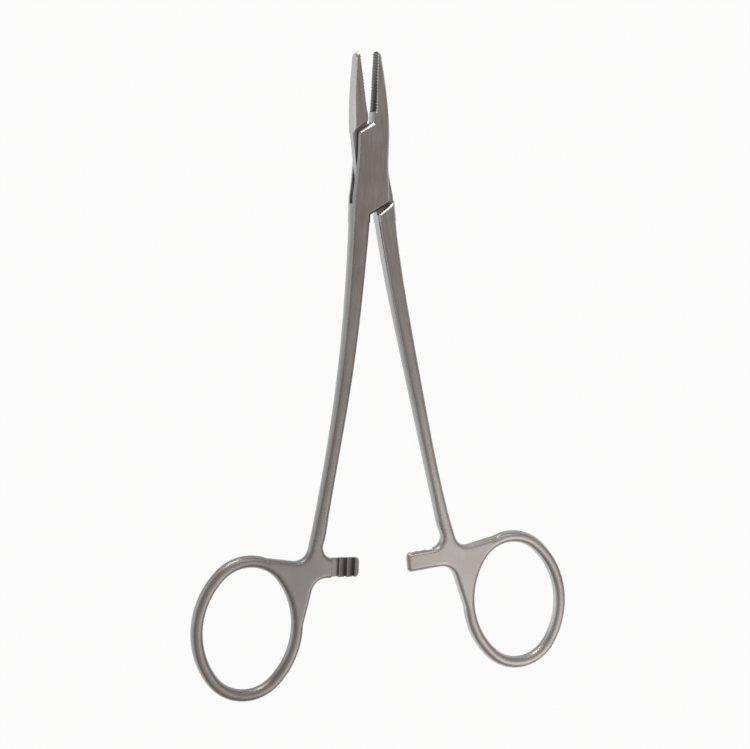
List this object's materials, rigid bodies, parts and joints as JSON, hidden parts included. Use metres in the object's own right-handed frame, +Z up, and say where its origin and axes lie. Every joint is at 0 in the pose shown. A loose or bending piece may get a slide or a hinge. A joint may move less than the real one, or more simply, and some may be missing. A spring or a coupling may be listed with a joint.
{
  "type": "surgical needle holder",
  "caption": "Ring-handled surgical needle holder with a box lock hinge, short serrated jaws and a stepped ratchet.",
  "frame": {"origin": "pin axis at the back face of the box, the face the instrument lies on", "axes": "+Y towards the jaw tips, +X to the right with the instrument face up, +Z up out of the front face, along the pin"},
  "size_m": [0.0936, 0.1473, 0.0044],
  "materials": {
    "arm_steel": "satin brushed stainless steel",
    "pin_steel": "satin stainless steel, ground flush"
  },
  "bodies": {
    "box_side": {"box_arm": "arm_steel", "pivot_pin": "pin_steel"},
    "tenon_side": {"tenon_arm": "arm_steel"}
  },
  "joints": [
    {"name": "box_lock_hinge", "type": "hinge", "parent": "box_side", "child": "tenon_side", "pos_m": [0, 0, 0.0022], "axis": [0, 0, 1], "range_deg": [-8.6, 60]}
  ]
}
